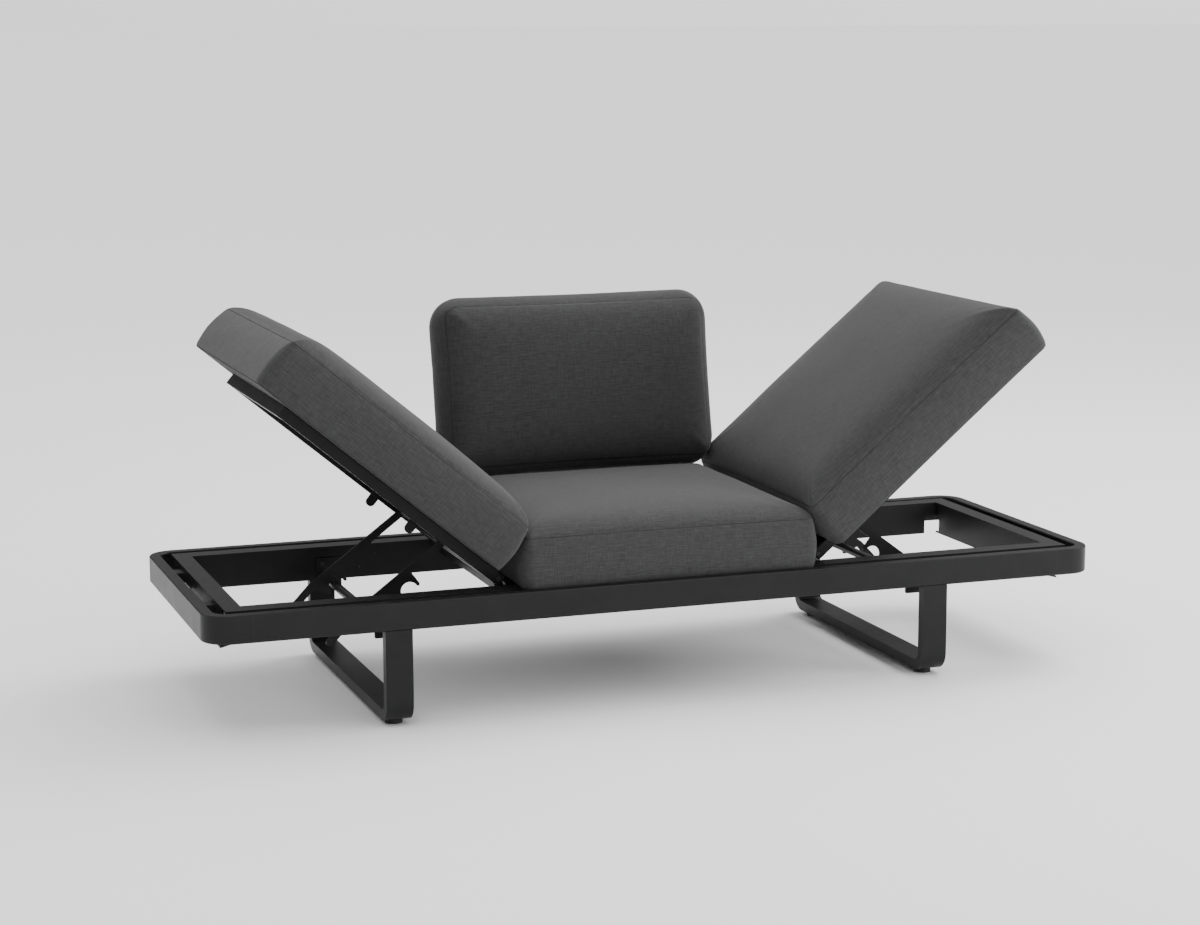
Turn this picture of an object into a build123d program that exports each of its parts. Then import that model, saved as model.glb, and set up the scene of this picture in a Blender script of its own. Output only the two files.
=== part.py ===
from build123d import *
import math
import os

# Outdoor modular sofa with two raised side wings, in millimetres.
# The origin is on the floor under the middle of the whole outline, +X runs along the sofa, +Y to its back.

os.makedirs("parts", exist_ok=True)

# Base frame
base_length = 2200.0
base_depth = 760.0
deck_height = 289.0
rim_height = 63.5
rim_wall = 28.0
rim_corner = 62.0
edge_bevel = 2.0
side_gap = 20.0
end_gap = 27.0
side_ledge = 47.0
end_ledge = 42.0
rail_wall = 4.0
rail_lip = 35.0
rail_step = 1.0
side_web = 82.6
end_web = 81.0
side_web_end_gap = 32.0
end_web_end_gap = 20.0
foot_lip_run = 47.0
foot_lip_drop = 12.0
foot_lip_end_gap = 2.0

# Spacers between the rim and the inner rails
spacer_length = 44.0
spacer_height = 40.0
spacer_drop = 12.0
side_spacer_offset = 450.0
side_spacer_end_gap = 150.0
end_spacer_offset = 180.0

# Sled legs
leg_bar_offset = 8.9
leg_width = 63.0
leg_bar = 25.0
leg_corner = 45.0
leg_tab = 5.0
pad_height = 12.0
pad_radius = 20.0
pad_inset = 62.0
bolt_radius = 4.0
bolt_head_radius = 6.5
bolt_head_height = 5.0

# Seat deck between the wings
deck_hinge_gap = 21.7
deck_edge_gap = 17.5
bearer_width = 30.0
bearer_depth = 25.0
slat_thickness = 10.0
slat_width = 55.0
slat_count = 7

# Wing frames, measured along the wing from its inner end and square to its top face
wing_angle = 40.0
wing_end_over = 5.7
wing_depth = 28.0
wing_side_gap = 4.0
wing_rail_width = 25.0
wing_slat = 7.0
wing_slat_width = 46.0
wing_slat_count = 6
wing_slat_offset = 223.0
wing_slat_gap = 3.0
cross_width = 25.0
hinge_cross_offset = 44.0
pivot_cross_offset = 104.0
tab_offset = 221.0
tab_width = 23.0
tab_reach = 56.0
tab_wall = 6.0
tab_prop_gap = 10.0

# Wing hinge
hinge_offset = 401.7
hinge_inset = 10.0
hinge_radius = 5.0
hinge_head_radius = 8.0
hinge_head = 4.5
ear_wall = 5.0
ear_radius = 12.5
ear_gap = 1.0
ear_foot = 33.0

# Props that hold the wings up
prop_angle = 36.5
prop_offset = 138.0
prop_depth = 18.0
prop_width = 18.0
prop_wall = 5.0
prop_inset = 69.0
prop_straight_length = 287.0
prop_tail_length = 66.0
prop_tail_bend = 10.0
shaft_radius = 6.0
shaft_end_length = 3.5
lug_wall = 4.0
lug_gap = 1.0
lug_radius = 9.0
notch_radius = 21.0
notch_offset = 135.4
notch_pitch = 50.0
notch_count = 3
notch_drop = 39.0
hook_drop = 44.0
hook_wall = 8.4
hook_tip = 3.6
hook_run = 22.0

# Crossbars that the hooks drop onto
bar_radius = 10.5
bar_offset = 238.5
bar_depth = 33.0
plate_wall = 5.0
plate_drop = 37.0
plate_top_gap = 27.0
screw_radius = 3.0
screw_head_radius = 5.5
screw_head_height = 2.6
screw_length = 9.0
screw_inset = 14.0
screw_pitch = 34.0

# Back support
back_lean = 10.0
post_width = 40.0
post_wall = 16.0
post_offset = 235.0
post_foot_gap = 10.5
post_length = 485.0
back_rail_height = 30.0
back_rail_overhang = 75.0
back_rail_count = 4
back_rail_offset = 200.0
back_rail_pitch = 85.0
back_rail_wall = 6.0
back_bolt_height = 36.0

# Cushions
seat_hinge_gap = 36.7
cushion_side_inset = 13.0
cushion_boxing = 117.0
cushion_shoulder = 38.0
cushion_crown = 13.0
cushion_corner = 30.0
cushion_draw = 4.0
cushion_bulge = 4.0
seam_inset = 9.0
foot_inset = 3.0
foot_rise = 7.0
bead_width = 1.6
bead_height = 3.0
seat_back_gap = 1.0
wing_cushion_offset = 44.2
wing_cushion_over = 103.0
back_side_over = 5.0
back_half_height = 224.0
back_boxing = 86.0
back_shoulder = 25.0
back_crown = 16.0
back_corner = 78.0
back_seam_inset = 22.0
back_foot_inset = 12.0
back_offset = 365.5

# Clearances and overruns
rest_gap = 0.3
running_gap = 0.05
cut_over = 5.0

# Form of a cushion: where its sides begin to be drawn in, where the sections of its side wall and dome lie,
# as shares of its size, and how steeply the dome's shoulder and crown rise
draw_share = 0.5
shoulder_in_shares = (0.02, 0.05, 0.09, 0.14)
crown_in_shares = (0.34, 0.64)
ledge_share = 0.36
boxing_up_shares = (0.35, 0.65, 0.86)
boxing_in_shares = (0.0, 0.14, 0.52)
crown_power = 2.5
seat_shoulder_power = 15.0
back_shoulder_power = 9.0

# Sizes that follow from the ones above
half_length = base_length / 2
half_depth = base_depth / 2
rim_low = deck_height - rim_height
rim_inner_x = half_length - rim_wall
rim_inner_y = half_depth - rim_wall
ledge_outer_x = rim_inner_x - end_gap
ledge_outer_y = rim_inner_y - side_gap
web_x = ledge_outer_x - end_ledge
web_y = ledge_outer_y - side_ledge
side_web_half = web_x - side_web_end_gap
end_web_half = web_y - end_web_end_gap
foot_lip_half = web_y - foot_lip_end_gap
hinge_height = deck_height + rest_gap + wing_depth / 2
lean = math.radians(back_lean)
tilt = math.radians(wing_angle)
dip = math.radians(prop_angle)
deck_half = hinge_offset - deck_hinge_gap
slat_pitch = (2 * (web_y - deck_edge_gap) - slat_width) / (slat_count - 1)
wing_length = ledge_outer_x + wing_end_over - hinge_offset + hinge_inset
wing_outer = web_y - wing_side_gap
rail_line = wing_outer - wing_rail_width / 2
rail_inner = wing_outer - wing_rail_width
last_slat_offset = wing_length - cross_width - wing_slat_gap - wing_slat_width / 2
wing_slat_pitch = (last_slat_offset - wing_slat_offset) / (wing_slat_count - 1)
prop_line = rail_inner - prop_inset
tab_line = prop_line - tab_prop_gap
post_line = ledge_outer_y + rest_gap + post_wall / 2
post_front = post_line - post_wall / 2
post_rear = post_front + post_length * math.sin(lean) + post_wall * math.cos(lean)
seat_half_length = hinge_offset - seat_hinge_gap
cushion_half_width = half_depth - cushion_side_inset
seat_rear = ledge_outer_y - seat_back_gap
wing_cushion_length = wing_length + wing_cushion_over - wing_cushion_offset
back_half_width = seat_half_length + back_side_over
frame_shift = (half_depth - post_rear) / 2


def wing_plane(side):
    # The plane of a raised wing's top face: x runs out and up along the wing, z away from its face.
    out = hinge_offset - hinge_inset * math.cos(tilt) - wing_depth / 2 * math.sin(tilt)
    up = hinge_height - hinge_inset * math.sin(tilt) + wing_depth / 2 * math.cos(tilt)
    along = (side * math.cos(tilt), 0, math.sin(tilt))
    normal = (-side * math.sin(tilt), 0, math.cos(tilt))
    return Plane(origin=(side * out, 0, up), x_dir=along, z_dir=normal)


def prop_plane(side, line):
    # The plane of a prop arm: x runs down along the arm from its pivot, y towards its hooks.
    pivot = wing_plane(side).from_local_coords((prop_offset, 0, -prop_depth))
    along = (side * math.cos(dip), 0, -math.sin(dip))
    return Plane(origin=(pivot.X, line, pivot.Z), x_dir=along, z_dir=(0, side, 0))


# The crossbars pass just outside the middle of the legs, so the hooks give both their places.
bar_centre = prop_plane(1, 0).from_local_coords((bar_offset, bar_depth, 0))
leg_spot = bar_centre.X - leg_bar_offset


def block(plane, x_span, y_span, z_span):
    # A block between the given limits, measured in the given plane.
    centre = [(low + high) / 2 for low, high in (x_span, y_span, z_span)]
    size = [high - low for low, high in (x_span, y_span, z_span)]
    with Locations(plane.location * Location(centre)):
        Box(size[0], size[1], size[2])


def rod(plane, start, end, radius):
    # A round bar along the plane's normal, from one distance to another.
    with Locations(plane.location * Location((0, 0, (start + end) / 2))):
        Cylinder(radius, end - start)


def cushion_section(plane, level, half_x, half_y, corner):
    # One level of a cushion: a rounded rectangle whose sides are drawn in between the corners.
    # Each side is three straight stretches, because its draw is slight and arcs would cost many facets.
    near_x = half_x * draw_share
    near_y = half_y * draw_share
    drawn_x = half_x - cushion_draw
    drawn_y = half_y - cushion_draw
    outline = [(-half_x, -half_y), (-near_x, -drawn_y), (near_x, -drawn_y)]
    outline += [(half_x, -half_y), (drawn_x, -near_y), (drawn_x, near_y)]
    outline += [(-x, -y) for x, y in outline]
    with BuildSketch(plane.offset(level)) as section:
        with BuildLine():
            Polyline(outline, close=True)
        make_face()
        corners = section.vertices().sort_by_distance(section.face().center())[-4:]
        fillet(corners, corner)
    return section.sketch.face()


def cushion(plane, half_x, half_y, boxing, corner, inset, foot, shoulder, crown, power):
    # A boxed cushion lying on the plane: a bulging side wall, a stitched seam, a rounded shoulder and a low crown.
    wall = [cushion_section(plane, 0, half_x - foot, half_y - foot, corner)]
    wall.append(cushion_section(plane, foot_rise, half_x, half_y, corner))
    for up, share in zip(boxing_up_shares, boxing_in_shares):
        swell = cushion_bulge - (cushion_bulge + inset) * share
        wall.append(cushion_section(plane, boxing * up, half_x + swell, half_y + swell, corner))
    seam_x = half_x - inset
    seam_y = half_y - inset
    for rise, reach in ((-bead_height / 2, 0), (0, bead_width), (bead_height / 2, 0)):
        wall.append(cushion_section(plane, boxing + rise, seam_x + reach, seam_y + reach, corner))
    loft(sections=wall, ruled=True)
    reach = min(seam_x, seam_y)

    def rise(share):
        # The dome's height over the seam, this share of the way in to its middle.
        return shoulder * (1 - (1 - share) ** power) + crown * (1 - (1 - share) ** crown_power)

    dome = [wall[-1]]
    for share in shoulder_in_shares:
        pull = reach * share
        turn = corner * (1 - share)
        dome.append(cushion_section(plane, boxing + rise(share), seam_x - pull, seam_y - pull, turn))
    loft(sections=dome, ruled=True)
    near = shoulder_in_shares[-1] + corner * ledge_share / reach
    level = rise(shoulder_in_shares[-1])
    for share in crown_in_shares:
        run = reach * (share - near)
        step = rise(share) - level
        with BuildSketch(plane.offset(boxing + level)) as foot_print:
            Rectangle(2 * (seam_x - reach * near), 2 * (seam_y - reach * near))
        slope = math.degrees(math.atan2(run, step))
        extrude(foot_print.sketch.face(), amount=step, dir=plane.z_dir, taper=slope)
        near = share
        level += step


def seat_like_cushion(plane, half_x, half_y):
    # A cushion with the section that the seat and both wings share.
    cushion(
        plane,
        half_x,
        half_y,
        cushion_boxing,
        cushion_corner,
        seam_inset,
        foot_inset,
        cushion_shoulder,
        cushion_crown,
        seat_shoulder_power,
    )


def save(builder, name):
    # The model is drawn about the middle of the base and set about the middle of its whole outline.
    placed = builder.part.moved(Location((0, frame_shift, 0)))
    placed.label = name
    export_step(placed, "parts/" + name + ".step")


# Bolts through the rim's rear bar into the back posts
back_bolt_planes = [
    Plane(origin=(x, half_depth, rim_low + back_bolt_height), z_dir=(0, 1, 0)) for x in (-post_offset, post_offset)
]

# Rim: one rounded ring, cut where its two long bars meet its two end pieces
rim_split = half_length - rim_corner - spacer_length
rim_parts = {
    "rim_front": ((-rim_split, rim_split), (-half_depth - cut_over, 0)),
    "rim_rear": ((-rim_split, rim_split), (0, half_depth + cut_over)),
    "rim_end_left": ((-half_length - cut_over, -rim_split), (-half_depth - cut_over, half_depth + cut_over)),
    "rim_end_right": ((rim_split, half_length + cut_over), (-half_depth - cut_over, half_depth + cut_over)),
}
for name, (x_span, y_span) in rim_parts.items():
    with BuildPart() as rim:
        with BuildSketch(Plane.XY.offset(rim_low)):
            RectangleRounded(base_length, base_depth, rim_corner)
            RectangleRounded(2 * rim_inner_x, 2 * rim_inner_y, rim_corner - rim_wall, mode=Mode.SUBTRACT)
        extrude(amount=rim_height)
        chamfer(rim.faces().sort_by(Axis.Z)[-1].edges() + rim.faces().sort_by(Axis.Z)[0].edges(), edge_bevel)
        centre = ((x_span[0] + x_span[1]) / 2, (y_span[0] + y_span[1]) / 2, deck_height - rim_height / 2)
        with Locations(centre):
            Box(x_span[1] - x_span[0], y_span[1] - y_span[0], base_depth, mode=Mode.INTERSECT)
        if name == "rim_rear":
            with Locations([bolt.location for bolt in back_bolt_planes]):
                Cylinder(bolt_radius, 2 * rim_wall + cut_over, mode=Mode.SUBTRACT)
    save(rim, name)

# Long inner rails: a folded channel with a ledge flush with the rim and a web that hangs inside
for name, side in (("long_rail_front", -1), ("long_rail_rear", 1)):
    with BuildPart() as long_rail:
        profile = [
            (ledge_outer_y, deck_height),
            (web_y, deck_height),
            (web_y, deck_height - rail_lip),
            (web_y + rail_step, deck_height - rail_lip),
            (web_y + rail_step, deck_height - side_web),
            (web_y + rail_wall, deck_height - side_web),
            (web_y + rail_wall, deck_height - rail_wall),
            (ledge_outer_y - rail_wall, deck_height - rail_wall),
            (ledge_outer_y - rail_wall, deck_height - rail_lip),
            (ledge_outer_y, deck_height - rail_lip),
        ]
        with BuildSketch(Plane.YZ.offset(-ledge_outer_x)):
            with BuildLine():
                Polyline([(side * y, z) for y, z in profile], close=True)
            make_face()
        extrude(amount=2 * ledge_outer_x)
        trim = (ledge_outer_x + cut_over - side_web_half)
        for end in (-1, 1):
            with Locations((end * (side_web_half + trim / 2), side * web_y, deck_height - rail_lip - side_web / 2)):
                Box(trim, 2 * side_gap, side_web, mode=Mode.SUBTRACT)
            low = min(end * web_x, end * (ledge_outer_x - rail_wall))
            with Locations((low + (end_ledge - rail_wall) / 2, side * web_y, deck_height - rail_wall - rail_lip / 2)):
                Box(end_ledge - rail_wall, 2 * rail_wall, rail_lip, mode=Mode.SUBTRACT)
    save(long_rail, name)

# End inner rails: the same channel across the ends, with a sloping foot lip under the web
for name, side in (("end_rail_left", -1), ("end_rail_right", 1)):
    with BuildPart() as end_rail:
        ledge = [
            (ledge_outer_x, deck_height),
            (web_x, deck_height),
            (web_x, deck_height - end_web + rail_wall),
            (web_x + rail_wall, deck_height - end_web + rail_wall),
            (web_x + rail_wall, deck_height - rail_wall),
            (ledge_outer_x - rail_wall, deck_height - rail_wall),
            (ledge_outer_x - rail_wall, deck_height - rail_lip),
            (ledge_outer_x, deck_height - rail_lip),
        ]
        with BuildSketch(Plane.XZ.offset(-web_y)):
            with BuildLine():
                Polyline([(side * x, z) for x, z in ledge], close=True)
            make_face()
        extrude(amount=2 * web_y)
        for end in (-1, 1):
            with Locations((side * web_x, end * (end_web_half + web_y) / 2, deck_height - rail_lip - end_web / 2)):
                Box(4 * rail_wall, web_y - end_web_half, end_web, mode=Mode.SUBTRACT)
        low = deck_height - end_web
        foot = [
            (web_x, low + rail_wall),
            (web_x, low),
            (web_x + foot_lip_run, low - foot_lip_drop),
            (web_x + foot_lip_run, low - foot_lip_drop + rail_wall),
            (web_x + rail_wall, low + rail_wall),
        ]
        with BuildSketch(Plane.XZ.offset(-foot_lip_half)):
            with BuildLine():
                Polyline([(side * x, z) for x, z in foot], close=True)
            make_face()
        extrude(amount=2 * foot_lip_half)
    save(end_rail, name)

# Spacer blocks welded in the slot between the rim and the inner rails
with BuildPart() as frame_spacers:
    top = deck_height - spacer_drop
    for side in (-1, 1):
        for spot in (0, side_spacer_offset, half_length - side_spacer_end_gap):
            for end in {-spot, spot}:
                y_span = sorted((side * ledge_outer_y, side * rim_inner_y))
                block(Plane.XY, (end - spacer_length / 2, end + spacer_length / 2), y_span, (top - spacer_height, top))
        for end in (-leg_spot, leg_spot):
            y_span = sorted((side * ledge_outer_y, side * rim_inner_y))
            block(Plane.XY, (end - leg_width / 2, end + leg_width / 2), y_span, (rim_low, top))
        for end in (-end_spacer_offset, end_spacer_offset):
            x_span = sorted((side * ledge_outer_x, side * rim_inner_x))
            block(Plane.XY, x_span, (end - spacer_length / 2, end + spacer_length / 2), (top - spacer_height, top))
save(frame_spacers, "frame_spacers")

# Sled legs: a flat bar bent to a U across the sofa, with a tab turned in under each end
for name, side in (("sled_leg_left", -1), ("sled_leg_right", 1)):
    with BuildPart() as sled_leg:
        leg_plane = Plane.YZ.offset(side * leg_spot - leg_width / 2)
        with BuildSketch(leg_plane):
            with Locations((0, (pad_height + rim_low) / 2)):
                outer = Rectangle(base_depth, rim_low - pad_height)
            fillet(outer.vertices().group_by(Axis.Y)[0], leg_corner)
            with BuildSketch(mode=Mode.SUBTRACT):
                with Locations((0, (pad_height + leg_bar + rim_low + cut_over) / 2)):
                    inner = Rectangle(base_depth - 2 * leg_bar, rim_low + cut_over - pad_height - leg_bar)
                fillet(inner.vertices().group_by(Axis.Y)[0], leg_corner - leg_bar)
        extrude(amount=leg_width)
        for end in (-1, 1):
            y_span = sorted((end * (half_depth - leg_bar), end * (web_y + rail_wall)))
            x_span = (side * leg_spot - leg_width / 2, side * leg_spot + leg_width / 2)
            block(Plane.XY, x_span, y_span, (rim_low - leg_tab, rim_low))
            with Locations((side * leg_spot, end * (ledge_outer_y + side_gap / 2), rim_low - leg_tab / 2)):
                Cylinder(bolt_radius, 2 * leg_tab, mode=Mode.SUBTRACT)
    save(sled_leg, name)

# Bolts up through the leg tabs, bedded in the spacer blocks
with BuildPart() as leg_bolts:
    for x in (-leg_spot, leg_spot):
        for y in (-ledge_outer_y - side_gap / 2, ledge_outer_y + side_gap / 2):
            under = Plane(origin=(x, y, rim_low - leg_tab))
            rod(under, 0, leg_tab, bolt_radius)
            with BuildSketch(under.offset(-bolt_head_height)):
                RegularPolygon(bolt_head_radius, 6)
            extrude(amount=bolt_head_height)
save(leg_bolts, "leg_bolts")

# Round rubber pads under the legs
with BuildPart() as foot_pads:
    for x in (-leg_spot, leg_spot):
        for y in (-half_depth + pad_inset, half_depth - pad_inset):
            rod(Plane(origin=(x, y, 0)), 0, pad_height, pad_radius)
save(foot_pads, "foot_pads")

# Seat deck: cross bearers between the webs and long slats over them
bearer_top = deck_height - slat_thickness
bearer_spots = (bearer_width / 2 - deck_half, 0, deck_half - bearer_width / 2)
with BuildPart() as seat_bearers:
    for x in bearer_spots:
        x_span = (x - bearer_width / 2, x + bearer_width / 2)
        block(Plane.XY, x_span, (-web_y, web_y), (bearer_top - bearer_depth, bearer_top))
save(seat_bearers, "seat_bearers")

with BuildPart() as seat_slats:
    for index in range(slat_count):
        y = (index - (slat_count - 1) / 2) * slat_pitch
        block(Plane.XY, (-deck_half, deck_half), (y - slat_width / 2, y + slat_width / 2), (bearer_top, deck_height))
    chamfer(seat_slats.edges().filter_by(Axis.X).group_by(Axis.Z)[-1], edge_bevel)
save(seat_slats, "seat_slats")

# Hinge ears on the end bearers, one inside each wing rail, and the pins through them
ear_line = rail_inner - ear_gap - ear_wall / 2
with BuildPart() as hinge_ears:
    for x in (-1, 1):
        for y in (-1, 1):
            with BuildSketch(Plane.XZ.offset(-y * ear_line)):
                with BuildSketch() as ear_shape:
                    with Locations((x * hinge_offset, hinge_height)):
                        Circle(ear_radius)
                    with Locations((x * (deck_half + rest_gap), bearer_top - ear_foot / 2)):
                        Rectangle(2 * rest_gap, ear_foot)
                    make_hull()
                with Locations((x * hinge_offset, hinge_height)):
                    Circle(hinge_radius, mode=Mode.SUBTRACT)
            extrude(amount=ear_wall / 2, both=True)
save(hinge_ears, "hinge_ears")

with BuildPart() as hinge_pins:
    for x in (-1, 1):
        for y in (-1, 1):
            pin_plane = Plane(origin=(x * hinge_offset, 0, hinge_height), z_dir=(0, y, 0))
            inside = ear_line - ear_wall / 2
            with BuildSketch(pin_plane.offset(inside - hinge_head)):
                RegularPolygon(hinge_head_radius, 6)
            extrude(amount=hinge_head)
            rod(pin_plane, inside, wing_outer, hinge_radius)
save(hinge_pins, "hinge_pins")

# Back support: two flat posts bolted in the rear slot, leaning back above the deck
back_plane = Plane(
    origin=(0, post_line - post_wall / 2, deck_height),
    x_dir=(1, 0, 0),
    z_dir=(0, -math.cos(lean), math.sin(lean)),
)
with BuildPart() as back_posts:
    for x in (-post_offset, post_offset):
        x_span = (x - post_width / 2, x + post_width / 2)
        shape = [
            (post_line - post_wall / 2, rim_low + post_foot_gap),
            (post_line - post_wall / 2, deck_height),
            (post_line - post_wall / 2 + post_length * math.sin(lean), deck_height + post_length * math.cos(lean)),
            (
                post_line - post_wall / 2 + post_length * math.sin(lean) + post_wall * math.cos(lean),
                deck_height + post_length * math.cos(lean) - post_wall * math.sin(lean),
            ),
            (post_line + post_wall / 2, deck_height - post_wall * math.tan(lean / 2)),
            (post_line + post_wall / 2, rim_low + post_foot_gap),
        ]
        with BuildSketch(Plane.YZ.offset(x_span[0])):
            with BuildLine():
                Polyline(shape, close=True)
            make_face()
        extrude(amount=post_width)
    with Locations([bolt.location for bolt in back_bolt_planes]):
        Cylinder(bolt_radius, base_depth, mode=Mode.SUBTRACT)
save(back_posts, "back_posts")

with BuildPart() as back_rails:
    reach = post_offset + back_rail_overhang
    for index in range(back_rail_count):
        level = back_rail_offset + index * back_rail_pitch
        y_span = (level - back_rail_height / 2, level + back_rail_height / 2)
        block(back_plane, (-reach, reach), y_span, (0, back_rail_wall))
    chamfer(back_rails.edges().filter_by(Axis.X).group_by(Axis.Y)[0], edge_bevel / 2)
save(back_rails, "back_rails")

with BuildPart() as back_bolts:
    for bolt in back_bolt_planes:
        rod(bolt, post_line - post_wall / 2 - half_depth, 0, bolt_radius)
        with BuildSketch(bolt):
            RegularPolygon(bolt_head_radius, 6)
        extrude(amount=bolt_head_height)
save(back_bolts, "back_bolts")

# Crossbars under the deck, a plate at each end of them and the screws in the plates
for name, side in (("crossbar_left", -1), ("crossbar_right", 1)):
    with BuildPart() as crossbar:
        hook = prop_plane(side, 0).from_local_coords((bar_offset, bar_depth, 0))
        bar_plane = Plane(origin=(hook.X, 0, hook.Z), z_dir=(0, 1, 0))
        rod(bar_plane, plate_wall - web_y, web_y - plate_wall, bar_radius)
    save(crossbar, name)

with BuildPart() as crossbar_plates:
    for side in (-1, 1):
        for end in (-1, 1):
            x_span = (side * leg_spot - leg_width / 2, side * leg_spot + leg_width / 2)
            y_span = sorted((end * (web_y - plate_wall), end * web_y))
            block(Plane.XY, x_span, y_span, (rim_low - plate_drop, deck_height - plate_top_gap))
    chamfer(crossbar_plates.edges().filter_by(Axis.Y), edge_bevel)
save(crossbar_plates, "crossbar_plates")

with BuildPart() as crossbar_screws:
    for side in (-1, 1):
        for end in (-1, 1):
            for spot in (-screw_pitch / 2, screw_pitch / 2):
                spot_point = (side * leg_spot + spot, end * (web_y - plate_wall), deck_height - plate_top_gap - screw_inset)
                screw_plane = Plane(origin=spot_point, z_dir=(0, -end, 0))
                with BuildSketch(screw_plane):
                    RegularPolygon(screw_head_radius, 6)
                extrude(amount=screw_head_height)
save(crossbar_screws, "crossbar_screws")

# Wings: rails, cross members, slats, tabs, prop lugs and cushion, all in the wing's own plane
for word, side in (("left", -1), ("right", 1)):
    wing = wing_plane(side)
    pin_point = wing.from_local_coords((hinge_inset, 0, -wing_depth / 2))
    shaft_plane = Plane(origin=prop_plane(side, 0).origin, z_dir=(0, 1, 0))
    with BuildPart() as wing_rails:
        for line in (-rail_line, rail_line):
            y_span = (line - wing_rail_width / 2, line + wing_rail_width / 2)
            block(wing, (0, wing_length), y_span, (-wing_depth, 0))
        along = wing.x_dir
        chamfer(wing_rails.edges().filter_by(Axis(origin=(0, 0, 0), direction=along)), edge_bevel)
        with Locations(Plane(origin=pin_point, z_dir=(0, 1, 0)).location):
            Cylinder(hinge_radius + running_gap, 2 * wing_outer + cut_over, mode=Mode.SUBTRACT)
    save(wing_rails, "wing_rails_" + word)

    with BuildPart() as wing_crosses:
        for spot in (hinge_cross_offset, pivot_cross_offset, wing_length - cross_width / 2):
            s_span = (spot - cross_width / 2, spot + cross_width / 2)
            top = 0 if spot > pivot_cross_offset else -wing_slat
            block(wing, s_span, (-rail_inner, rail_inner), (-wing_depth, top))
    save(wing_crosses, "wing_crosses_" + word)

    with BuildPart() as wing_slats:
        spots = [hinge_cross_offset, pivot_cross_offset + cross_width]
        spots += [wing_slat_offset + index * wing_slat_pitch for index in range(wing_slat_count)]
        for spot in spots:
            s_span = (spot - wing_slat_width / 2, spot + wing_slat_width / 2)
            block(wing, s_span, (-rail_inner, rail_inner), (-wing_slat, 0))
    save(wing_slats, "wing_slats_" + word)

    with BuildPart() as wing_tabs:
        for line in (-tab_line, tab_line):
            tab_plane = Plane(origin=wing.from_local_coords((tab_offset, 0, 0)), x_dir=wing.x_dir, z_dir=(0, -side, 0))
            with BuildSketch(tab_plane.offset(line)):
                with Locations((0, (tab_width / 2 - wing_slat - tab_reach) / 2)):
                    Rectangle(tab_width, tab_reach - tab_width / 2 - wing_slat)
                with Locations((0, tab_width / 2 - tab_reach)):
                    Circle(tab_width / 2)
            extrude(amount=tab_wall / 2, both=True)
    save(wing_tabs, "wing_tabs_" + word)

    with BuildPart() as prop_lugs:
        lug_line = prop_line - prop_wall / 2 - lug_gap - lug_wall / 2
        for line in (-lug_line, lug_line):
            lug_plane = Plane(origin=wing.from_local_coords((0, 0, 0)), x_dir=wing.x_dir, z_dir=(0, -side, 0))
            foot = pivot_cross_offset + cross_width / 2
            with BuildSketch(lug_plane.offset(line)):
                with Locations(((foot + prop_offset) / 2, -prop_depth)):
                    Rectangle(prop_offset - foot, 2 * lug_radius)
                with Locations((prop_offset, -prop_depth)):
                    Circle(lug_radius)
                    Circle(shaft_radius + running_gap, mode=Mode.SUBTRACT)
            extrude(amount=lug_wall / 2, both=True)
    save(prop_lugs, "prop_lugs_" + word)

    with BuildPart() as wing_cushion:
        middle = wing_cushion_offset + wing_cushion_length / 2
        bed = Plane(origin=wing.from_local_coords((middle, 0, 0)), x_dir=wing.x_dir, z_dir=wing.z_dir)
        half = wing_cushion_length / 2
        seat_like_cushion(bed, half, cushion_half_width)
    save(wing_cushion, "wing_cushion_" + word)

    # Prop arms: a bent flat bar with a comb of hook notches, turning on a shaft under the wing
    for place, end in (("front", -1), ("rear", 1)):
        with BuildPart() as prop_arm:
            with BuildSketch(prop_plane(side, end * prop_line)) as arm_shape:
                with Locations((prop_straight_length / 2, 0)):
                    SlotCenterToCenter(prop_straight_length, prop_width)
                bend = math.radians(prop_tail_bend)
                tail_middle = (prop_straight_length + prop_tail_length / 2 * math.cos(bend), prop_tail_length / 2 * math.sin(bend))
                with Locations(tail_middle):
                    SlotCenterToCenter(prop_tail_length, prop_width, rotation=prop_tail_bend)
                hook_start = notch_offset - notch_radius - hook_wall
                hook_end = notch_offset + (notch_count - 1) * notch_pitch + notch_radius + hook_wall
                with BuildSketch() as hook_shape:
                    with BuildLine():
                        Polyline(
                            (hook_start, 0),
                            (hook_start, hook_drop),
                            (hook_end, hook_drop),
                            (hook_end + hook_run, 0),
                            close=True,
                        )
                    make_face()
                    for index in range(notch_count):
                        notch_spot = notch_offset + index * notch_pitch
                        with Locations((notch_spot, notch_drop)):
                            Circle(notch_radius, mode=Mode.SUBTRACT)
                        with Locations((notch_spot, notch_drop + notch_radius)):
                            Rectangle(2 * notch_radius, 2 * notch_radius, mode=Mode.SUBTRACT)
                    chamfer(hook_shape.vertices().group_by(Axis.Y)[-1], hook_tip)
                Circle(shaft_radius, mode=Mode.SUBTRACT)
            extrude(amount=prop_wall / 2, both=True)
        save(prop_arm, "prop_arm_" + word + "_" + place)

    with BuildPart() as prop_shaft:
        reach = prop_line + prop_wall / 2 + shaft_end_length
        rod(shaft_plane, -reach, reach, shaft_radius)
    save(prop_shaft, "prop_shaft_" + word)

# Seat and back cushions
with BuildPart() as seat_cushion:
    front = -cushion_half_width
    bed = Plane(origin=(0, (front + seat_rear) / 2, deck_height))
    half = (seat_rear - front) / 2 - cushion_bulge
    seat_like_cushion(bed, seat_half_length, half)
save(seat_cushion, "seat_cushion")

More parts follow.
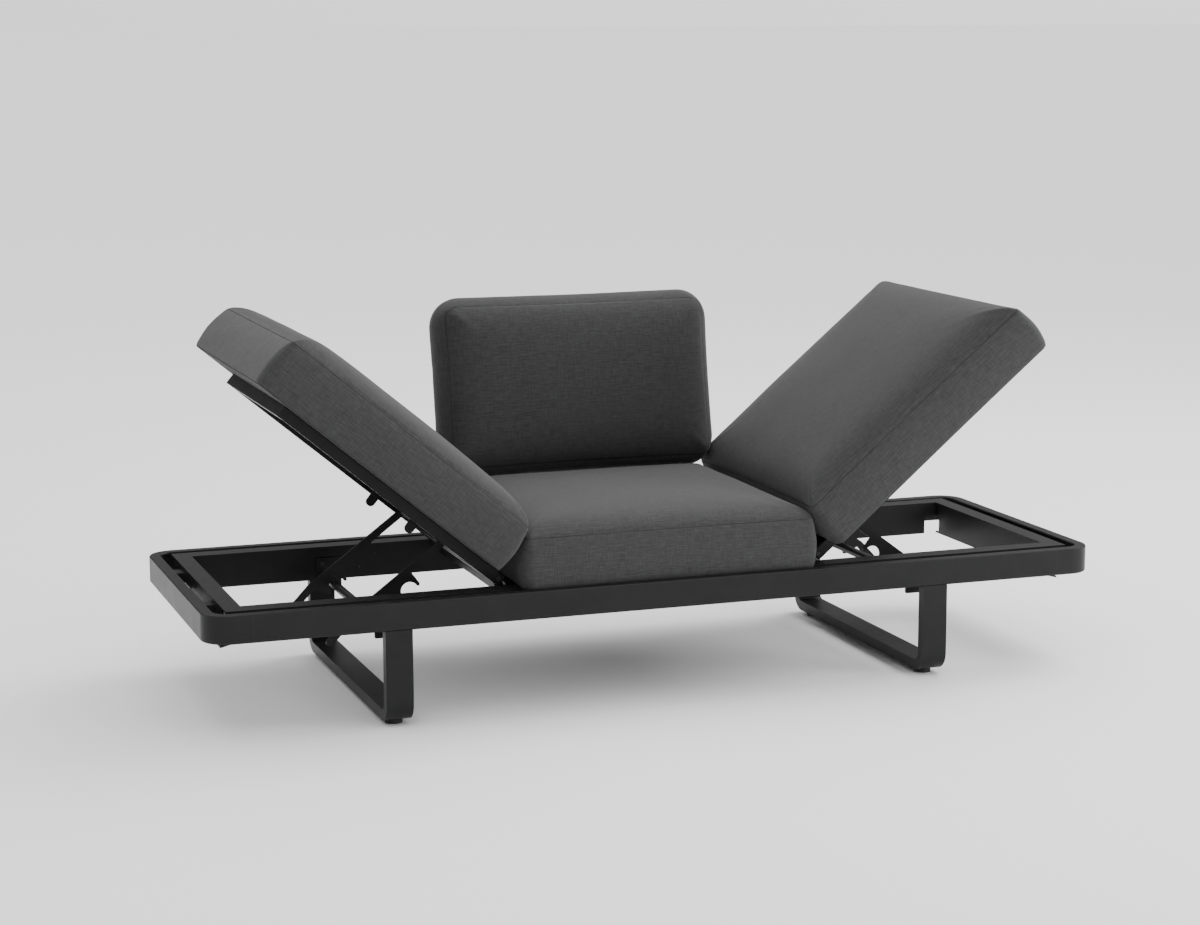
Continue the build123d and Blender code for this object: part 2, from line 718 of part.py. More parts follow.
with BuildPart() as back_cushion:
    bed_point = back_plane.from_local_coords((0, back_offset, back_rail_wall + rest_gap))
    bed = Plane(origin=bed_point, x_dir=back_plane.x_dir, z_dir=back_plane.z_dir)
    half = back_half_width - cushion_bulge
    cushion(
        bed,
        half,
        back_half_height,
        back_boxing,
        back_corner,
        back_seam_inset,
        back_foot_inset,
        back_shoulder,
        back_crown,
        back_shoulder_power,
    )
save(back_cushion, "back_cushion")
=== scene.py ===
import math
from collections import namedtuple

import bpy
import numpy as np
from mathutils import Matrix, Vector, noise


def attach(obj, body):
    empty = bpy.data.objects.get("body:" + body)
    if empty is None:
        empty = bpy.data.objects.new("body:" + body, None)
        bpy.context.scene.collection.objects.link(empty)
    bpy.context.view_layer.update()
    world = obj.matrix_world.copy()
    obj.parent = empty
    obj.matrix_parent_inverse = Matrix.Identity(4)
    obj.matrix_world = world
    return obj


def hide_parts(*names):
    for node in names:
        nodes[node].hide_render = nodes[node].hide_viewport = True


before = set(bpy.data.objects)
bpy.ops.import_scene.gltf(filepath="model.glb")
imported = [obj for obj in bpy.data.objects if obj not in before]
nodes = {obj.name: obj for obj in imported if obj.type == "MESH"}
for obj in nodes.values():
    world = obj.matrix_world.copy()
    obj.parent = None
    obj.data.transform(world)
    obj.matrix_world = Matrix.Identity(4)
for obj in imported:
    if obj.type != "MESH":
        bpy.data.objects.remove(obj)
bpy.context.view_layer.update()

# Studio: a plain pale floor, soft lights and air that is bright overhead and at the horizon, dim between,
# and a little brighter on the right. The camera was solved from the edges of the metal base, so its place
# is in the sofa's own frame.
camera_place = (-2.10687, -5.80315, 1.56665)
camera_yaw = math.radians(-19.566)
camera_pitch = math.radians(9.797)
camera_roll = math.radians(-0.193)
camera_lens = 76.86
camera_sensor = 36.0
camera_sight = 2000.0
floor_reach = 600.0
floor_white = (0.95, 0.95, 0.95, 1.0)
floor_roughness = 0.9
air_peak = 1.80
air_lean = 0.30
air_shares = ((0.0, 0.72), (0.015, 0.72), (0.04, 0.06), (0.26, 0.08), (0.60, 1.0))
lamps = (
    ("key_light", (3.4, 1.2, 5.0), (0, 0, 0.3), 3.4, 210.0),
    ("right_light", (3.2, -2.6, 1.0), (0.9, 0, 0.2), 1.4, 65.0),
    ("left_light", (-4.8, 0.6, 0.9), (-0.8, 0, 0.25), 1.6, 14.0),
)

camera = bpy.data.objects.new("camera", bpy.data.cameras.new("camera"))
camera.data.lens = camera_lens
camera.data.sensor_width = camera_sensor
camera.data.clip_end = camera_sight
camera.matrix_world = (
    Matrix.Translation(camera_place)
    @ Matrix.Rotation(camera_yaw, 4, "Z")
    @ Matrix.Rotation(math.pi / 2 - camera_pitch, 4, "X")
    @ Matrix.Rotation(camera_roll, 4, "Z")
)
bpy.context.scene.collection.objects.link(camera)
bpy.context.scene.camera = camera


def new_object(name, mesh):
    """Puts a mesh into the scene under a name."""
    made = bpy.data.objects.new(name, mesh)
    bpy.context.scene.collection.objects.link(made)
    return made


def plain_mesh(name, points, faces):
    """A mesh from its points and faces."""
    mesh = bpy.data.meshes.new(name)
    mesh.from_pydata([tuple(point) for point in points], [], [tuple(face) for face in faces])
    mesh.update()
    return mesh


floor_signs = ((-1, -1), (1, -1), (1, 1), (-1, 1))
floor_corners = [(x * floor_reach, y * floor_reach, 0) for x, y in floor_signs]
floor = new_object("studio_floor", plain_mesh("studio_floor", floor_corners, [(0, 1, 2, 3)]))
floor_finish = bpy.data.materials.new("studio_floor_white")
floor_finish.use_nodes = True
floor_shader = floor_finish.node_tree.nodes["Principled BSDF"]
floor_shader.inputs["Base Color"].default_value = floor_white
floor_shader.inputs["Roughness"].default_value = floor_roughness
floor.data.materials.append(floor_finish)

world = bpy.data.worlds.new("studio_air")
world.use_nodes = True
air = world.node_tree
air_way = air.nodes.new("ShaderNodeTexCoord")
air_height = air.nodes.new("ShaderNodeSeparateXYZ")
air_glow = air.nodes.new("ShaderNodeValToRGB")
while len(air_glow.color_ramp.elements) < len(air_shares):
    air_glow.color_ramp.elements.new(0.5)
for stop, (height, share) in zip(air_glow.color_ramp.elements, air_shares):
    stop.position = height
    stop.color = (share, share, share, 1.0)
air.links.new(air_way.outputs["Generated"], air_height.inputs[0])
air.links.new(air_height.outputs["Z"], air_glow.inputs[0])
air.links.new(air_glow.outputs[0], air.nodes["Background"].inputs["Color"])
air_side = air.nodes.new("ShaderNodeMath")
air_side.operation = "MULTIPLY_ADD"
air_side.inputs[1].default_value = air_peak * air_lean
air_side.inputs[2].default_value = air_peak
air.links.new(air_height.outputs["X"], air_side.inputs[0])
air.links.new(air_side.outputs[0], air.nodes["Background"].inputs["Strength"])
bpy.context.scene.world = world
for lamp_name, lamp_place, lamp_aim, lamp_breadth, lamp_power in lamps:
    lamp = bpy.data.lights.new(lamp_name, "AREA")
    lamp.size = lamp_breadth
    lamp.energy = lamp_power
    lamp_object = bpy.data.objects.new(lamp_name, lamp)
    lamp_object.location = lamp_place
    lamp_object.rotation_euler = (Vector(lamp_aim) - Vector(lamp_place)).to_track_quat("-Z", "Y").to_euler()
    bpy.context.scene.collection.objects.link(lamp_object)

# Seat cushion: a thick foam block in a sewn cover of dark grey outdoor cloth.
# Its side band bulges a little, its top is domed, and the panels are drawn in at the sewn seams.
# It lies loose on the slats of the deck.
cloth_dark = (0.0200, 0.0201, 0.0203, 1.0)
cloth_light = (0.0630, 0.0632, 0.0637, 1.0)
# The seam colours are darker than the cover cloth's own: painted shade for the crease along each seam.
seam_painted_shade_dark = (0.010, 0.010, 0.0103, 1.0)
seam_painted_shade_light = (0.026, 0.026, 0.0265, 1.0)
yarn_run, yarn_pitch = 42.0, 420.0
slub_run, slub_pitch = 16.0, 230.0
patch_scale = 5.0
weave_scale = 190.0
weave_depth = 0.0004
melange_low, melange_high = 0.30, 0.72
Form = namedtuple("Form", "boxing shoulder crown power corner inset foot")
thick_form = Form(boxing=0.117, shoulder=0.038, crown=0.013, power=15.0, corner=0.030, inset=0.009, foot=0.003)
thick_trim = 0.0033
panel_count = 72
band_count = 12
grid_power = 1.45
crown_power = 2.5
corner_tighten = 2.0
side_draw = 0.004
band_bulge = 0.004
bulge_start = 0.35
bulge_power = 2.6
bed_round = 0.007
under_place = 2.0
band_place = 4.0
level_slack = 1e-6
puff_frames = 20
puff_share = 0.3
panel_travel = 0.026
band_travel = 0.003
swell_height, swell_scale = 0.0014, 5.5
pucker_height, pucker_scale, pucker_reach = 0.0008, 26, 0.035
seam_dip = 0.0010
seam_roll = 0.0009
stitch_gap = 0.0058
stitch_length = 0.0034
stitch_width = 0.0023


class Wire:
    """A shader value that sums can be written on."""

    def __init__(self, tree, socket):
        self.tree = tree
        self.socket = socket

    def sum_node(self, operation, first, second):
        made = self.tree.nodes.new("ShaderNodeMath")
        made.operation = operation
        for slot, value in enumerate((first, second)):
            if isinstance(value, Wire):
                self.tree.links.new(value.socket, made.inputs[slot])
            else:
                made.inputs[slot].default_value = value
        return Wire(self.tree, made.outputs[0])

    def __add__(self, other):
        return self.sum_node("ADD", self, other)

    __radd__ = __add__

    def __mul__(self, other):
        return self.sum_node("MULTIPLY", self, other)

    __rmul__ = __mul__


class Finish:
    """A material whose nodes are added one by one."""

    def __init__(self, name):
        self.material = bpy.data.materials.new(name)
        self.material.use_nodes = True
        self.tree = self.material.node_tree
        self.shader = self.tree.nodes["Principled BSDF"]

    def node(self, kind, settings=None, values=None, output=0):
        """Adds a node: its settings first, then the values or wires of its sockets."""
        made = self.tree.nodes.new(kind)
        for key, value in (settings or {}).items():
            setattr(made, key, value)
        for key, value in (values or {}).items():
            self.fill(made.inputs[key], value)
        return Wire(self.tree, made.outputs[output])

    def fill(self, socket, value):
        """Links a wire to a socket, or sets the socket's value."""
        if isinstance(value, Wire):
            self.tree.links.new(value.socket, socket)
        else:
            socket.default_value = value

    def set(self, **values):
        """Fills sockets of the main shader; an underscore stands for a space."""
        for key, value in values.items():
            self.fill(self.shader.inputs[key.replace("_", " ")], value)

    def mix(self, share, first, second):
        """Mixes two colours by a share."""
        return self.node("ShaderNodeMix", {"data_type": "RGBA"}, {0: share, 6: first, 7: second}, output=2)

    def spread(self, value, low, high):
        """Stretches a value, so that it runs from 0 at low to 1 at high."""
        limits = {"Value": value, "From Min": low, "From Max": high, "To Min": 0.0, "To Max": 1.0}
        return self.node("ShaderNodeMapRange", {}, limits)


def cloth_finish(name, dark, light):
    """Melange cloth: a fine plain weave of dark yarn with lighter slubs along both yarn directions."""
    cloth = Finish(name)
    place = cloth.node("ShaderNodeUVMap", {"uv_map": "cloth"})

    def streaks(along, across, detail, seed):
        shift = {"Vector": place, "Scale": (along, across, 1.0), "Location": (seed, seed, 0.0)}
        stretched = cloth.node("ShaderNodeMapping", {}, shift)
        values = {"Vector": stretched, "Scale": 1.0, "Detail": detail, "Roughness": 0.6}
        return cloth.node("ShaderNodeTexNoise", {}, values)

    def threads(direction):
        values = {"Vector": place, "Scale": weave_scale, "Distortion": 1.2, "Detail": 1.0, "Detail Scale": 2.0}
        return cloth.node("ShaderNodeTexWave", {"bands_direction": direction}, values)

    weft = streaks(yarn_run, yarn_pitch, 2.0, 3.1)
    warp = streaks(yarn_pitch, yarn_run, 2.0, 7.7)
    long_weft = streaks(slub_run, slub_pitch, 2.0, 12.9)
    long_warp = streaks(slub_pitch, slub_run, 2.0, 21.3)
    patches = streaks(patch_scale, patch_scale, 3.0, 31.0)
    melange = weft * 0.36 + warp * 0.26 + long_weft * 0.2 + long_warp * 0.12 + patches * 0.06
    colour = cloth.mix(cloth.spread(melange, melange_low, melange_high), dark, light)
    weave = threads("Y") * 0.5 + threads("X") * 0.5 + melange * 0.9
    bumps = cloth.node("ShaderNodeBump", {}, {"Height": weave, "Strength": 0.40, "Distance": weave_depth})
    cloth.set(
        Base_Color=colour, Normal=bumps, Roughness=0.92,
        Sheen_Weight=0.12, Sheen_Roughness=0.5, Specular_IOR_Level=0.2,
    )
    return cloth.material


def yarn_finish(name, dark, light, scale, roughness):
    """Cloth or thread seen as one yarn: fine mottling and a little fuzz."""
    yarn = Finish(name)
    place = yarn.node("ShaderNodeTexCoord", {}, {}, output=3)
    fuzz = yarn.node("ShaderNodeTexNoise", {}, {"Vector": place, "Scale": scale, "Detail": 3.0})
    bumps = yarn.node("ShaderNodeBump", {}, {"Height": fuzz, "Strength": 0.4, "Distance": 0.0003})
    yarn.set(Base_Color=yarn.mix(fuzz, dark, light), Roughness=roughness, Normal=bumps, Specular_IOR_Level=0.2)
    return yarn.material


cushion_cloth = cloth_finish("cushion_cloth", cloth_dark, cloth_light)
# The seam roll's material carries the painted seam shade, and the stitch thread's darkest tone is that same painted
# shade.
seam_cloth_painted_shade = yarn_finish("seam_cloth_painted_shade", seam_painted_shade_dark, seam_painted_shade_light, scale=700.0, roughness=0.95)
stitch_thread = yarn_finish("stitch_thread", seam_painted_shade_dark, cloth_light, scale=1500.0, roughness=0.75)


def spread_plan(u, v, half_x, half_y, form, grow):
    """A panel's grid spread over a rounded, drawn-in rectangle that is grown by this much."""
    a, b = half_x + grow, half_y + grow
    corner = form.corner + min(grow, 0) * corner_tighten
    x, y = u * a, v * b
    dx = np.sign(x) * np.maximum(np.abs(x) - (a - corner), 0)
    dy = np.sign(y) * np.maximum(np.abs(y) - (b - corner), 0)
    x = x - dx + dx * np.sqrt(1 - dy**2 / (2 * corner**2))
    y = y - dy + dy * np.sqrt(1 - dx**2 / (2 * corner**2))
    x = x * (1 - side_draw / a * (1 - v**2))
    y = y * (1 - side_draw / b * (1 - u**2))
    return x, y


def panel_ring():
    """The outer points of a panel's grid, once round."""
    last = panel_count
    ring = [(i, 0) for i in range(last + 1)] + [(last, j) for j in range(1, last + 1)]
    ring += [(i, last) for i in range(last - 1, -1, -1)] + [(0, j) for j in range(last - 1, 0, -1)]
    return tuple(np.array(ring).T)


def panel_dome(x, y, u, v, half_x, half_y, form):
    """How high each point of the top panel stands over its seam: round shoulders and a low crown."""
    corner = form.corner - form.inset * corner_tighten
    over_x = np.abs(x) - (half_x - form.inset - corner)
    over_y = np.abs(y) - (half_y - form.inset - corner)
    round_corner = np.hypot(np.maximum(over_x, 0), np.maximum(over_y, 0))
    inward = corner - round_corner - np.minimum(np.maximum(over_x, over_y), 0)
    share = np.clip(inward / (min(half_x, half_y) - form.inset), 0, 1)
    share[panel_ring()] = 0
    dome = form.shoulder * (1 - (1 - share) ** form.power)
    dome += form.crown * (1 - np.abs(u) ** crown_power) * (1 - np.abs(v) ** crown_power)
    return dome


def band_grow(up, form):
    """How far the side band stands out from the cushion's outline, at a share of its height."""
    past = max((up - bulge_start) / (1 - bulge_start), 0)
    grow = band_bulge * min(up / bulge_start, 1) - (band_bulge + form.inset) * past**bulge_power
    return grow - form.foot * max(1 - up * form.boxing / bed_round, 0)


def cushion_points(half_x, half_y, form):
    """The start shape of a cover: its points, its faces with their cloth places, and its two seam loops."""
    steps = np.linspace(-1, 1, panel_count + 1)
    eased = np.sign(steps) * (1 - (1 - np.abs(steps)) ** grid_power)
    u, v = np.meshgrid(eased, eased, indexing="ij")
    ring = panel_ring()
    ring_count = len(ring[0])
    ids = np.arange(u.size).reshape(u.shape)

    x, y = spread_plan(u, v, half_x, half_y, form, -form.inset)
    dome = panel_dome(x, y, u, v, half_x, half_y, form)
    points = [np.stack([x, y, form.boxing + dome], -1).reshape(-1, 3)]
    levels = [ids[ring]]
    total = u.size
    half_turn = np.linspace(0.5, -0.5, band_count + 2)[1:-1] * math.pi
    for up in (1 + np.sin(half_turn)) / 2:
        x, y = spread_plan(u, v, half_x, half_y, form, band_grow(up, form))
        points.append(np.stack([x[ring], y[ring], np.full(ring_count, form.boxing * up)], -1))
        levels.append(total + np.arange(ring_count))
        total += ring_count
    x, y = spread_plan(u, v, half_x, half_y, form, -form.foot)
    points.append(np.stack([x, y, np.zeros_like(x)], -1).reshape(-1, 3))
    under = total + ids
    levels.append(under[ring])
    points = np.concatenate(points)

    faces, places = [], []
    for i in range(panel_count):
        for j in range(panel_count):
            for quad, away in (
                ((ids[i, j], ids[i + 1, j], ids[i + 1, j + 1], ids[i, j + 1]), 0.0),
                ((under[i, j], under[i, j + 1], under[i + 1, j + 1], under[i + 1, j]), under_place),
            ):
                faces.append(quad)
                places.append([points[k][:2] + away for k in quad])
    rim = points[levels[0]]
    walk = np.concatenate([[0], np.cumsum(np.linalg.norm(np.roll(rim, -1, 0) - rim, axis=1))])
    for upper, lower in zip(levels[:-1], levels[1:]):
        for k in range(ring_count):
            after = (k + 1) % ring_count
            faces.append((upper[k], lower[k], lower[after], upper[after]))
            places.append([
                (walk[k], points[upper[k]][2] + band_place),
                (walk[k], points[lower[k]][2] + band_place),
                (walk[k + 1], points[lower[after]][2] + band_place),
                (walk[k + 1], points[upper[after]][2] + band_place),
            ])
    return points, faces, places, levels[0], levels[-1]


def puff(cushion, held, band):
    """Blows the cover up over its filling: cloth with air pressure, held at the seams, its travel capped."""
    start = np.array([vertex.co[:] for vertex in cushion.data.vertices])
    group = cushion.vertex_groups.new(name="held")
    group.add([int(k) for k in held], 1.0, "REPLACE")
    cloth = cushion.modifiers.new("cloth", "CLOTH")
    cloth.settings.quality = 5
    cloth.settings.mass = 0.3
    cloth.settings.tension_stiffness = 12
    cloth.settings.compression_stiffness = 12
    cloth.settings.shear_stiffness = 5
    cloth.settings.bending_stiffness = 0.6
    cloth.settings.use_pressure = True
    cloth.settings.uniform_pressure_force = 4
    cloth.settings.effector_weights.gravity = 0
    cloth.settings.vertex_group_mass = "held"
    cloth.collision_settings.use_collision = False
    for step in range(1, puff_frames + 1):
        bpy.context.scene.frame_set(step)
    moved = cushion.evaluated_get(bpy.context.evaluated_depsgraph_get())
    end = np.array([vertex.co[:] for vertex in moved.data.vertices])
    cushion.modifiers.remove(cloth)
    cushion.vertex_groups.remove(group)
    bpy.context.scene.frame_set(1)
    travel = end - start
    length = np.linalg.norm(travel, axis=1)
    caps = np.where(band, band_travel, panel_travel)
    length[length == 0] = 1.0
    travel *= (caps * np.tanh(length / caps) / length)[:, None]
    return start + travel


def match_rise(shaped, points, domed, form):
    """Brings the puffed panel to the drawn panel's mean rise, and blends it into the drawn form."""
    rise = shaped[:, 2] - form.boxing
    shaped[domed, 2] = form.boxing + rise[domed] * (points[domed, 2] - form.boxing).mean() / rise[domed].mean()
    return points + (shaped - points) * puff_share


def add_swells(shaped, domed, band, half_x, half_y, seed):
    """Makes the cover softly uneven, with small puckers along its edges."""
    edge = np.minimum(half_x - np.abs(shaped[:, 0]), half_y - np.abs(shaped[:, 1]))
    for index in np.where(domed | band)[0]:
        point = shaped[index]
        spot = Vector((point[0] + seed, point[1] - seed, point[2] * 2))
        near = math.exp(-max(edge[index], 0) / pucker_reach)
        swell = swell_height * noise.noise(spot * swell_scale)
        swell += pucker_height * near * noise.noise(spot * pucker_scale)
        if domed[index]:
            shaped[index, 2] += swell
        else:
            along_x = abs(point[0]) / half_x > abs(point[1]) / half_y
            shaped[index, 0 if along_x else 1] += math.copysign(swell, point[0] if along_x else point[1])


def draw_in(shaped, seam, half_x, half_y, form):
    """Sinks one seam a little into the cushion, all round."""
    middle = np.array([half_x - form.corner, half_y - form.corner, 0])
    out = shaped[seam] - np.clip(shaped[seam], -middle, middle)
    out[:, 2] = 0
    shaped[seam] -= out / np.linalg.norm(out, axis=1)[:, None] * seam_dip


def make_cushion(name, node, body, bed, half_x, half_y, form, seed):
    """One cushion: its cover puffed by simulation and softly uneven. Returns its two seam lines."""
    points, faces, places, upper_seam, lower_seam = cushion_points(half_x, half_y, form)
    mesh = plain_mesh(name, points, faces)
    cloth_place = mesh.uv_layers.new(name="cloth")
    cloth_place.data.foreach_set("uv", np.array(places, dtype=float).reshape(-1))
    cushion = new_object(name, mesh)
    flat = np.where(points[:, 2] <= level_slack)[0]
    band = (points[:, 2] < form.boxing - level_slack) & (points[:, 2] > level_slack)
    domed = points[:, 2] > form.boxing + level_slack
    shaped = points.copy()
    shaped = puff(cushion, np.unique(np.concatenate([upper_seam, flat])), band)
    shaped = match_rise(shaped, points, domed, form)
    add_swells(shaped, domed, band, half_x, half_y, seed)
    for seam in (upper_seam, lower_seam):
        draw_in(shaped, seam, half_x, half_y, form)
    mesh.vertices.foreach_set("co", shaped.reshape(-1))
    mesh.transform(bed)
    mesh.update()
    mesh.materials.append(cushion_cloth)
    mesh.polygons.foreach_set("use_smooth", [True] * len(mesh.polygons))
    finer = cushion.modifiers.new("finer", "SUBSURF")
    finer.levels = finer.render_levels = 1
    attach(cushion, body)
    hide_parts(node)
    return [[bed @ Vector(shaped[k]) for k in seam] for seam in (upper_seam, lower_seam)]


def cushion_bed(node, along, normal, trim):
    """A cushion's place and half sizes, read from its solid: x runs along its bed and z away from it."""
    z = Vector(normal).normalized()
    x = Vector(along).normalized()
    axes = Matrix((x, z.cross(x), z))
    reach = np.array([axes @ vertex.co for vertex in nodes[node].data.vertices])
    low, high = reach.min(0), reach.max(0)
    place = axes.transposed().to_4x4()
    place.translation = axes.transposed() @ Vector(((low[0] + high[0]) / 2, (low[1] + high[1]) / 2, low[2]))
    return place, (high[0] - low[0]) / 2 - trim, (high[1] - low[1]) / 2 - trim


seat_bed, seat_half_x, seat_half_y = cushion_bed("seat_cushion", (1, 0, 0), (0, 0, 1), thick_trim)
seat_seams = make_cushion(
    "seat_cushion_cover", "seat_cushion", "base", seat_bed, seat_half_x, seat_half_y, thick_form, seed=1.0
)

# Back cushion: a thinner pad of the same cloth with large rounded corners, leaning on the metal back.
# Its front seam runs well inside its outline. It has sagged a little towards the seat cushion.
back_form = Form(boxing=0.086, shoulder=0.025, crown=0.016, power=9.0, corner=0.078, inset=0.022, foot=0.012)
back_lean = math.radians(10)
back_trim = 0.0010
back_sag = 0.0017
back_normal = (0, -math.cos(back_lean), math.sin(back_lean))
back_bed, back_half_x, back_half_y = cushion_bed("back_cushion", (1, 0, 0), back_normal, back_trim)
back_seams = make_cushion(
    "back_cushion_cover", "back_cushion", "base", back_bed @ Matrix.Translation((0, -back_sag, 0)),
    back_half_x, back_half_y, back_form, seed=5.0,
)

# Wing cushions: two more thick seat cushions, lying on the raised wings and tilting with them.
# They are longer than the wing frames, so their outer ends stand free.
wing_tilt = math.radians(40)
wing_seams = {}
for word, side in (("left", -1), ("right", 1)):
    along = (side * math.cos(wing_tilt), 0, math.sin(wing_tilt))
    normal = (-side * math.sin(wing_tilt), 0, math.cos(wing_tilt))
    wing_bed, wing_half_x, wing_half_y = cushion_bed("wing_cushion_" + word, along, normal, thick_trim)
    wing_seams[word] = make_cushion(
        "wing_cushion_cover_" + word, "wing_cushion_" + word, "wing_" + word, wing_bed,
        wing_half_x, wing_half_y, thick_form, seed=9.0 + side,
    )

# Cushion seams: the panels and the side band are sewn together face to face and turned, so each seam
# is a thin roll of cloth in a shallow dip, with the thread of its lock stitches just showing.
# The roll is the cover's cloth coloured darker: painted shade for the crease along each seam.
roll_step = 0.004
stitch_least, stitch_most = 0.85, 1.1
stitch_seed = 4
seam_nodes = bpy.data.node_groups.new("seam_run", "GeometryNodeTree")
seam_nodes.interface.new_socket("Line", in_out="INPUT", socket_type="NodeSocketGeometry")
seam_keys = {}
for label, kind, value in (
    ("Roll Radius", "NodeSocketFloat", seam_roll),
    ("Roll Step", "NodeSocketFloat", roll_step),
    ("Stitch Gap", "NodeSocketFloat", stitch_gap),
    ("Stitch Length", "NodeSocketFloat", stitch_length),
    ("Stitch Width", "NodeSocketFloat", stitch_width),
    ("Stitch Least", "NodeSocketFloat", stitch_least),
    ("Stitch Most", "NodeSocketFloat", stitch_most),
    ("Seed", "NodeSocketInt", stitch_seed),
    ("Cloth", "NodeSocketMaterial", seam_cloth_painted_shade),
    ("Thread", "NodeSocketMaterial", stitch_thread),
):
    seam_keys[seam_nodes.interface.new_socket(label, in_out="INPUT", socket_type=kind).identifier] = value
seam_nodes.interface.new_socket("Seam", in_out="OUTPUT", socket_type="NodeSocketGeometry")


def seam_node(kind, settings=None, inputs=None, output=0):
    """Adds a node to the seam group, fills its sockets with values or links, and returns one output."""
    made = seam_nodes.nodes.new(kind)
    for key, value in (settings or {}).items():
        setattr(made, key, value)
    for key, value in (inputs or {}).items():
        if isinstance(value, bpy.types.NodeSocket):
            seam_nodes.links.new(value, made.inputs[key])
        else:
            made.inputs[key].default_value = value
    return made.outputs[output] if made.outputs else None


def finished(geometry, material):
    """Turns the instances into real geometry and gives it a material."""
    real = seam_node("GeometryNodeRealizeInstances", {}, {"Geometry": geometry})
    return seam_node("GeometryNodeSetMaterial", {}, {"Geometry": real, "Material": material})


given = seam_nodes.nodes.new("NodeGroupInput").outputs
by_length = {"mode": "LENGTH"}
line = seam_node("GeometryNodeMeshToCurve", {}, {"Mesh": given["Line"]})
path = seam_node("GeometryNodeResampleCurve", by_length, {"Curve": line, "Length": given["Roll Step"]})
section = seam_node("GeometryNodeCurvePrimitiveCircle", {}, {"Resolution": 6, "Radius": given["Roll Radius"]})
roll = seam_node("GeometryNodeCurveToMesh", {}, {"Curve": path, "Profile Curve": section})
roll = finished(roll, given["Cloth"])
spots = seam_node("GeometryNodeResampleCurve", by_length, {"Curve": line, "Length": given["Stitch Gap"]})
bead = seam_node("GeometryNodeMeshUVSphere", {}, {"Segments": 6, "Rings": 4, "Radius": 0.5})
tangent = seam_node("GeometryNodeInputTangent")
turn = seam_node("FunctionNodeAlignRotationToVector", {"axis": "X"}, {"Vector": tangent})
limits = {2: given["Stitch Least"], 3: given["Stitch Most"], "Seed": given["Seed"]}
vary = seam_node("FunctionNodeRandomValue", {"data_type": "FLOAT"}, limits, output=1)
stitch_run = seam_node("ShaderNodeMath", {"operation": "MULTIPLY"}, {0: given["Stitch Length"], 1: vary})
thickness = given["Stitch Width"]
stitch_scale = seam_node("ShaderNodeCombineXYZ", {}, {"X": stitch_run, "Y": thickness, "Z": thickness})
rows = {"Points": spots, "Instance": bead, "Rotation": turn, "Scale": stitch_scale}
stitches = finished(seam_node("GeometryNodeInstanceOnPoints", {}, rows), given["Thread"])
both = seam_nodes.nodes.new("GeometryNodeJoinGeometry")
seam_nodes.links.new(roll, both.inputs[0])
seam_nodes.links.new(stitches, both.inputs[0])
seam_node("NodeGroupOutput", {}, {"Seam": both.outputs[0]})

for body, loops in (
    ("base", seat_seams + back_seams),
    ("wing_left", wing_seams["left"]),
    ("wing_right", wing_seams["right"]),
):
    points, edges = [], []
    for loop in loops:
        first = len(points)
        points += loop
        edges += [(first + k, first + (k + 1) % len(loop)) for k in range(len(loop))]
    lines = bpy.data.meshes.new("seams_" + body)
    lines.from_pydata([tuple(point) for point in points], edges, [])
    seams = new_object("seams_" + body, lines)
    run = seams.modifiers.new("seam_run", "NODES")
    run.node_group = seam_nodes
    for key, value in seam_keys.items():
        run[key] = value
    sewn = bpy.data.meshes.new_from_object(seams.evaluated_get(bpy.context.evaluated_depsgraph_get()))
    seams.modifiers.remove(run)
    seams.data = sewn
    sewn.polygons.foreach_set("use_smooth", [True] * len(sewn.polygons))
    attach(seams, body)

# Frame metal: flat bars and folded aluminium channels, welded, ground smooth and powder coated
# in a fine-grained dark grey. The coat is worn a little lighter along the bars' edges.
coat_dark = (0.0140, 0.0141, 0.0143, 1.0)
coat_light = (0.0220, 0.0221, 0.0224, 1.0)
coat_worn = (0.050, 0.0503, 0.051, 1.0)
worn_radius = 0.0016
worn_share = 0.55
edge_flat, edge_sharp = 0.995, 0.86
scuff_low, scuff_high = 0.42, 0.68
grain_depth = 0.00025
cushion_nodes = ("seat_cushion", "back_cushion", "wing_cushion_left", "wing_cushion_right")
hardware_nodes = ("leg_bolts", "back_bolts", "crossbar_screws", "hinge_pins", "prop_shaft_left", "prop_shaft_right")
pad_nodes = ("foot_pads",)
coat = Finish("powder_coat")
coat_place = coat.node("ShaderNodeTexCoord", {}, {}, output=3)


def coat_noise(scale, detail, roughness=0.5):
    """Noise in the coat at one scale."""
    values = {"Vector": coat_place, "Scale": scale, "Detail": detail, "Roughness": roughness}
    return coat.node("ShaderNodeTexNoise", {}, values)


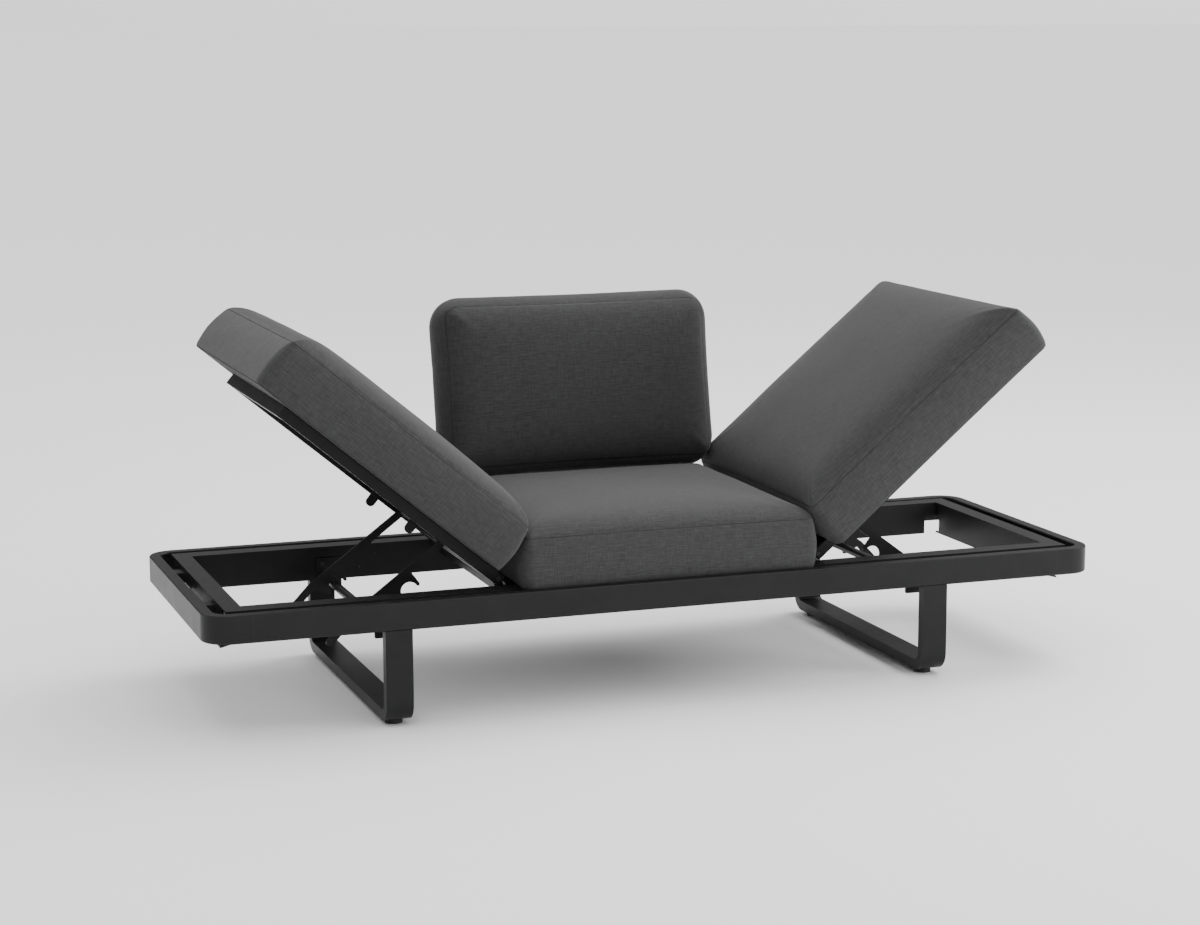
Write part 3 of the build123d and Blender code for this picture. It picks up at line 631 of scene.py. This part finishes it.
coat_cloud = coat_noise(scale=14.0, detail=4.0, roughness=0.6)
coat_grain = coat_noise(scale=1400.0, detail=2.0)
coat_scuff = coat_noise(scale=60.0, detail=5.0, roughness=0.7)
rounded = coat.node("ShaderNodeBevel", {"samples": 4}, {"Radius": worn_radius})
true_normal = coat.node("ShaderNodeNewGeometry", {}, {}, output=3)
facing = coat.node("ShaderNodeVectorMath", {"operation": "DOT_PRODUCT"}, {0: rounded, 1: true_normal}, output=1)
worn_edge = coat.spread(facing, edge_flat, edge_sharp) * coat.spread(coat_scuff, scuff_low, scuff_high) * worn_share
coat_colour = coat.mix(worn_edge, coat.mix(coat_cloud, coat_dark, coat_light), coat_worn)
coat_rough = coat_cloud * 0.12 + coat_scuff * 0.08 + 0.25
coat_bump = coat.node("ShaderNodeBump", {}, {"Height": coat_grain, "Strength": 0.35, "Distance": grain_depth})
coat.set(Base_Color=coat_colour, Roughness=coat_rough, Normal=coat_bump, Specular_IOR_Level=0.10)


def dress(names, material):
    """Gives CAD pieces a finish."""
    for name in names:
        mesh = nodes[name].data
        mesh.materials.clear()
        mesh.materials.append(material)


dress([name for name in nodes if name not in cushion_nodes + hardware_nodes + pad_nodes], coat.material)

# Hardware: steel bolts, screws, hinge pins and prop shafts in black zinc,
# slightly dulled by weather.
zinc_dark = (0.020, 0.020, 0.0205, 1.0)
zinc_light = (0.060, 0.060, 0.061, 1.0)


def mottled_finish(name, dark, light, scale, detail, strength, depth, rough_span, rough_least, **fixed):
    """A finish of one colour, mottled, with a fine grain and a roughness that follow the same noise."""
    made = Finish(name)
    place = made.node("ShaderNodeTexCoord", {}, {}, output=3)
    cloud = made.node("ShaderNodeTexNoise", {}, {"Vector": place, "Scale": scale, "Detail": detail})
    bump = made.node("ShaderNodeBump", {}, {"Height": cloud, "Strength": strength, "Distance": depth})
    colour = made.mix(cloud, dark, light)
    made.set(Base_Color=colour, Roughness=cloud * rough_span + rough_least, Normal=bump, **fixed)
    return made.material


black_zinc = mottled_finish(
    "black_zinc", zinc_dark, zinc_light, scale=220.0, detail=4.0, strength=0.2, depth=0.0002,
    rough_span=0.3, rough_least=0.35, Metallic=0.6,
)
dress(hardware_nodes, black_zinc)

# Foot pads: round moulded discs of black rubber,
# screwed under the sled legs.
rubber_dark = (0.008, 0.008, 0.008, 1.0)
rubber_light = (0.022, 0.022, 0.022, 1.0)
foot_rubber = mottled_finish(
    "foot_rubber", rubber_dark, rubber_light, scale=300.0, detail=3.0, strength=0.3, depth=0.0003,
    rough_span=0.2, rough_least=0.6,
)
dress(pad_nodes, foot_rubber)
